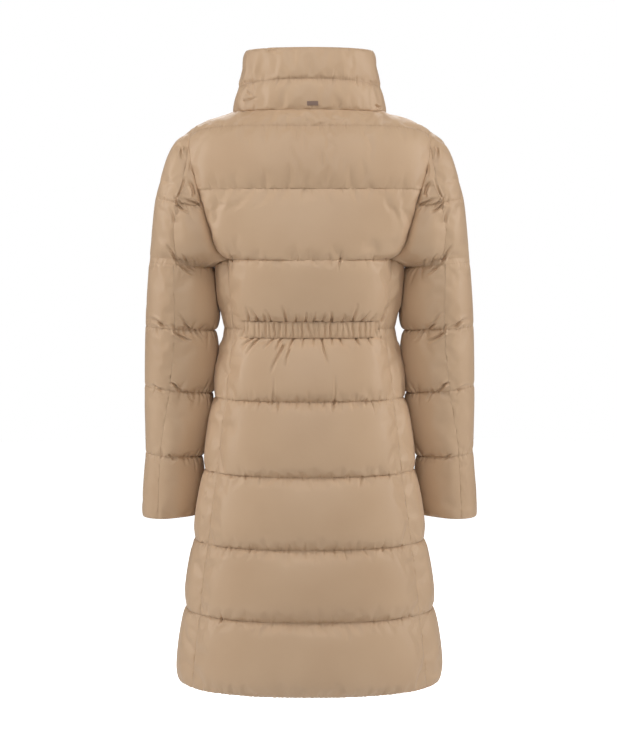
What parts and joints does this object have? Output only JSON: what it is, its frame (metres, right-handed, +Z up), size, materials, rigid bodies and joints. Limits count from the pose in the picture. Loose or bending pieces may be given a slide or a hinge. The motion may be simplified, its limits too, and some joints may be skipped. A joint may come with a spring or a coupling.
{
  "type": "long puffer coat",
  "caption": "Long quilted puffer coat, filled out as if worn and empty, with a stand collar, two-piece sleeves, a gathered back waist casing and a front zip.",
  "frame": {"origin": "middle of the neck opening, level with the neck seam at the middle of the back, where the wearer's neck and shoulders hold the coat", "axes": "+Z up along the coat, +X to the wearer's left, +Y out of the back; the fronts meet on the -Y side"},
  "size_m": [0.5968, 0.3282, 1.0986],
  "materials": {
    "shell_cloth": "fine down-proof nylon, soft sheen",
    "zip_tape": "woven polyester tape, matt",
    "zip_metal": "dark satin",
    "plate_metal": "dark satin, plain"
  },
  "bodies": {
    "coat": {"back": "shell_cloth", "front_left": "shell_cloth", "front_right": "shell_cloth", "sleeve_upper_left": "shell_cloth", "sleeve_upper_right": "shell_cloth", "sleeve_under_left": "shell_cloth", "sleeve_under_right": "shell_cloth", "collar": "shell_cloth", "waist_band": "shell_cloth", "zip_tape_left": "zip_tape", "zip_tape_right": "zip_tape", "zip_slider": "zip_metal", "collar_plate": "plate_metal"},
    "pull_tab": {"zip_pull_tab": "zip_metal"}
  },
  "joints": [
    {"name": "pull_tab_hinge", "type": "hinge", "parent": "coat", "child": "pull_tab", "pos_m": [0, -0.0822, 0.058], "axis": [-1, 0, 0], "range_deg": [0, 150]}
  ]
}
